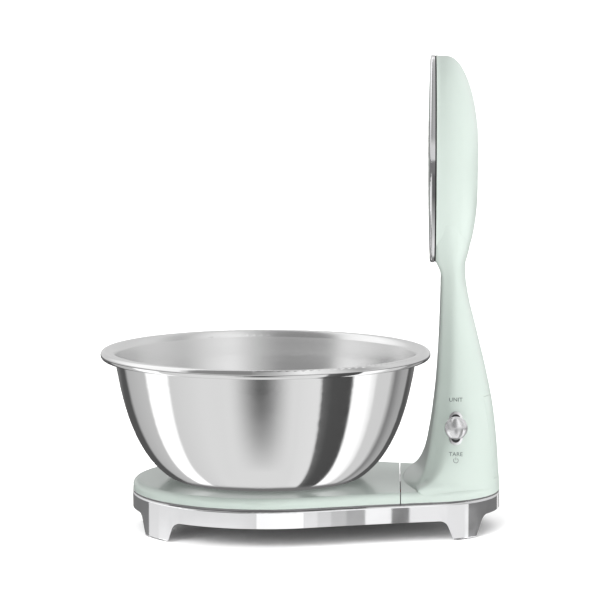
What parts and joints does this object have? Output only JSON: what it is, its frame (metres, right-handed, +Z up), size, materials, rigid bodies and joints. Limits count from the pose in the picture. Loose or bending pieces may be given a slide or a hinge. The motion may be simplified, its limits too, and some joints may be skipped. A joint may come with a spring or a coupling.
{
  "type": "kitchen scale",
  "caption": "Kitchen scale with a round lift-off bowl on a weighing platform and a raised oval display head on a curved column with a small side lever.",
  "frame": {"origin": "on the table, at the middle of the scale's bounding box", "axes": "+X from the bowl to the column, +Y across, +Z up"},
  "size_m": [0.2758, 0.228, 0.3266],
  "materials": {
    "pastel": "satin pastel lacquer",
    "plastic_pastel": "satin pastel moulding",
    "bowl_steel": "mirror outside, satin inside",
    "chrome": "mirror",
    "black_rubber": "matt",
    "black_plastic": "fine grain",
    "display_face": "satin",
    "display_glass": "dark clear",
    "lcd": "dark",
    "steel": "plain",
    "spring_steel": "drawn wire",
    "aluminium": "machined",
    "white_plastic": "moulded",
    "board": "solder mask",
    "cell_wrap": "shrink sleeve",
    "flat_cable": "film",
    "wire": "insulation"
  },
  "bodies": {
    "base": {"base_ring": "chrome", "foot_pads": "black_rubber", "column_housing": "plastic_pastel", "deck_trim": "chrome", "display_gasket": "black_rubber", "display_bezel": "chrome", "display_face": "display_face", "display_lens": "display_glass", "lever_bezel": "chrome", "lever_pivot_pin": "steel", "lever_spring": "spring_steel", "lever_bracket": "black_plastic", "switch_body": "black_plastic", "switch_pcb": "board", "load_cell": "aluminium", "load_cell_spacer": "aluminium", "load_cell_screws": "steel", "chassis_plate": "black_plastic", "chassis_screws": "steel", "bottom_cover": "black_plastic", "bottom_cover_screws": "steel", "column_screws": "steel", "battery_tray": "black_plastic", "battery_cells": "cell_wrap", "battery_springs": "spring_steel", "battery_contacts": "steel", "main_pcb": "board", "main_pcb_screws": "steel", "buzzer": "black_plastic", "display_carrier": "black_plastic", "display_screws": "steel", "lcd_module": "lcd", "display_pcb": "board", "display_pcb_screws": "steel", "display_ribbon": "flat_cable", "load_cell_cable": "wire", "battery_leads": "wire"},
    "platform": {"weighing_platform": "pastel", "platform_trim": "chrome", "platform_carrier": "steel", "platform_spacer": "aluminium", "platform_screws": "steel", "platform_cell_screws": "steel"},
    "bowl": {"bowl": "bowl_steel"},
    "lever": {"lever_arm": "steel", "lever_knob": "chrome"},
    "switch_slider": {"switch_slider": "white_plastic"},
    "battery_door": {"battery_door": "plastic_pastel"}
  },
  "joints": [
    {"name": "platform_press", "type": "slide", "parent": "base", "child": "platform", "axis": [0, 0, -1], "range_m": [0, 0.0004], "stiffness_N_per_m": 122500, "deforming": ["load_cell"]},
    {"name": "bowl_lift", "type": "slide", "parent": "platform", "child": "bowl", "axis": [0, 0, 1], "range_m": [0, 0.05]},
    {"name": "lever_tilt", "type": "hinge", "parent": "base", "child": "lever", "pos_m": [0.107, -0.0226, 0.07122], "axis": [1, 0, 0], "range_deg": [-14, 14], "stiffness_Nm_per_rad": 0.25},
    {"name": "slider_travel", "type": "slide", "parent": "base", "child": "switch_slider", "axis": [0, 0.1822, 0.9833], "range_m": [-0.0021, 0.0021]},
    {"name": "battery_door_pull", "type": "slide", "parent": "base", "child": "battery_door", "axis": [1, 0, 0], "range_m": [0, 0.04]}
  ],
  "couplings": [
    {"joint": "slider_travel", "follows": "lever_tilt", "m_per_rad": 0.008349}
  ]
}
